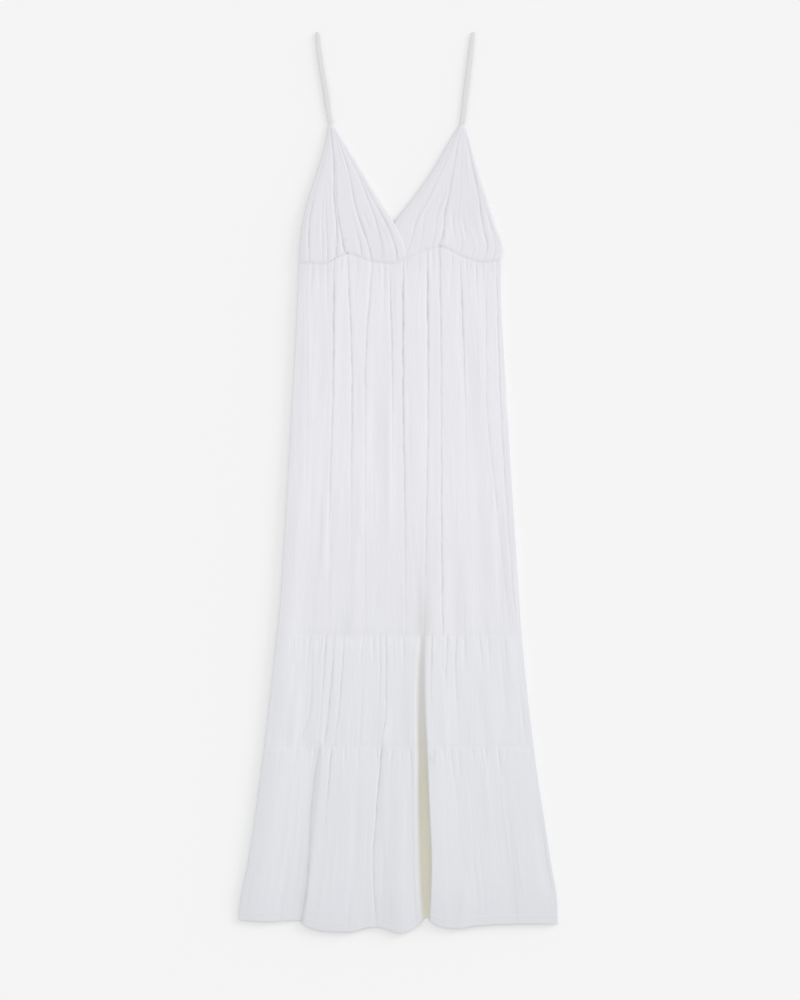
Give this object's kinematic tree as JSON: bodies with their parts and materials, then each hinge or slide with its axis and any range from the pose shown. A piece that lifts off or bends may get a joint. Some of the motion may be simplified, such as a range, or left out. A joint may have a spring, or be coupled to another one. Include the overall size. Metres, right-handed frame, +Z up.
{
  "type": "maxi dress",
  "caption": "White crinkled cotton maxi dress laid flat: thin straps, crossed gathered cups and a tiered, gathered skirt.",
  "frame": {"origin": "on the surface the dress lies on, under the middle of its outline", "axes": "+Z up out of the front of the dress, +Y from the hem to the straps, +X to the right of someone looking down on the front"},
  "size_m": [0.511, 1.4399, 0.0106],
  "materials": {
    "white_gauze": "matt, crinkled weave"
  },
  "bodies": {
    "root": {"strap_left": "white_gauze", "strap_right": "white_gauze", "cup_left": "white_gauze", "cup_right": "white_gauze", "back_band": "white_gauze", "tier_1_front": "white_gauze", "tier_1_back": "white_gauze", "tier_2_front": "white_gauze", "tier_2_back": "white_gauze", "tier_3_front": "white_gauze", "tier_3_back": "white_gauze"}
  },
  "joints": []
}
